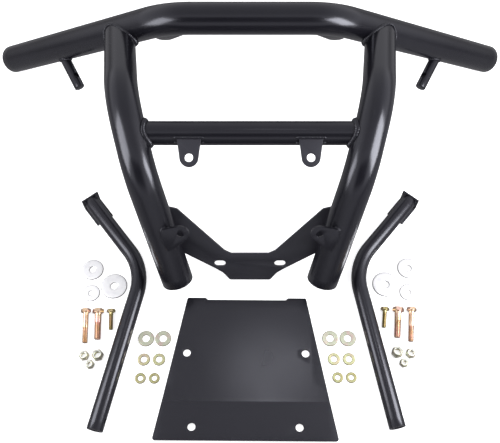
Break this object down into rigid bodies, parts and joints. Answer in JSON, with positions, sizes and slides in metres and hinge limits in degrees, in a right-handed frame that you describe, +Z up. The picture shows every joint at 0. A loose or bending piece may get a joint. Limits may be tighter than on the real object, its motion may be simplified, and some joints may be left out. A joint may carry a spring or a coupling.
{
  "type": "front grille guard kit",
  "caption": "Welded tube front grille guard for a utility vehicle, laid flat with its two bent braces, skid plate and loose bolts, lock nuts and washers.",
  "frame": {"origin": "centre of the laid-out kit's footprint, on the floor", "axes": "+X along the top rail, towards the right of the layout; +Y from the skid plate towards the top rail; +Z up from the floor"},
  "size_m": [0.836, 0.6524, 0.2469],
  "materials": {
    "black_powder_coat": "fine textured black powder coat, satin",
    "yellow_zinc": "yellow iridescent zinc plating on steel",
    "bright_zinc": "bright zinc plating",
    "nylon": "off-white nylon"
  },
  "bodies": {
    "guard": {"top_rail": "black_powder_coat", "rail_end_cap_left": "black_powder_coat", "rail_end_cap_right": "black_powder_coat", "upright_left": "black_powder_coat", "upright_right": "black_powder_coat", "upright_end_cap_left": "black_powder_coat", "upright_end_cap_right": "black_powder_coat", "crossbar": "black_powder_coat", "mount_plate": "black_powder_coat", "crossbar_tab_left": "black_powder_coat", "crossbar_tab_right": "black_powder_coat", "upright_tab_left": "black_powder_coat", "upright_tab_right": "black_powder_coat", "wing_stub_left": "black_powder_coat", "wing_stub_right": "black_powder_coat", "rail_tab_left": "black_powder_coat", "rail_tab_right": "black_powder_coat"},
    "brace_left": {"brace_tube_left": "black_powder_coat", "brace_bracket_left": "black_powder_coat"},
    "brace_right": {"brace_tube_right": "black_powder_coat", "brace_bracket_right": "black_powder_coat"},
    "skid_plate": {"skid_plate": "black_powder_coat"},
    "hardware_left": {"bolt_1_4_left": "yellow_zinc", "bolt_3_8_left": "yellow_zinc", "bolt_5_16_left": "yellow_zinc", "fender_washer_1_4_left": "bright_zinc", "fender_washer_3_8_left": "bright_zinc", "fender_washer_5_16_left": "bright_zinc", "flat_washer_1_4_left_a": "yellow_zinc", "flat_washer_1_4_left_b": "yellow_zinc", "flat_washer_3_8_left_a": "yellow_zinc", "flat_washer_3_8_left_b": "yellow_zinc", "flat_washer_5_16_left_a": "yellow_zinc", "flat_washer_5_16_left_b": "yellow_zinc", "lock_nut_1_4_left": "yellow_zinc", "lock_nut_3_8_left": "yellow_zinc", "lock_nut_5_16_left": "yellow_zinc", "nut_insert_1_4_left": "nylon", "nut_insert_3_8_left": "nylon", "nut_insert_5_16_left": "nylon"},
    "hardware_right": {"bolt_1_4_right": "yellow_zinc", "bolt_3_8_right": "yellow_zinc", "bolt_5_16_right": "yellow_zinc", "fender_washer_1_4_right": "bright_zinc", "fender_washer_3_8_right": "bright_zinc", "fender_washer_5_16_right": "bright_zinc", "flat_washer_1_4_right_a": "yellow_zinc", "flat_washer_1_4_right_b": "yellow_zinc", "flat_washer_3_8_right_a": "yellow_zinc", "flat_washer_3_8_right_b": "yellow_zinc", "flat_washer_5_16_right_a": "yellow_zinc", "flat_washer_5_16_right_b": "yellow_zinc", "lock_nut_1_4_right": "yellow_zinc", "lock_nut_3_8_right": "yellow_zinc", "lock_nut_5_16_right": "yellow_zinc", "nut_insert_1_4_right": "nylon", "nut_insert_3_8_right": "nylon", "nut_insert_5_16_right": "nylon"}
  },
  "joints": [
    {"name": "brace_left_lift", "type": "slide", "parent": "guard", "child": "brace_left", "axis": [0, 0, 1], "range_m": [0, 0.3]},
    {"name": "brace_right_lift", "type": "slide", "parent": "guard", "child": "brace_right", "axis": [0, 0, 1], "range_m": [0, 0.3]},
    {"name": "skid_plate_lift", "type": "slide", "parent": "guard", "child": "skid_plate", "axis": [0, 0, 1], "range_m": [0, 0.3]},
    {"name": "hardware_left_lift", "type": "slide", "parent": "guard", "child": "hardware_left", "axis": [0, 0, 1], "range_m": [0, 0.3]},
    {"name": "hardware_right_lift", "type": "slide", "parent": "guard", "child": "hardware_right", "axis": [0, 0, 1], "range_m": [0, 0.3]}
  ]
}
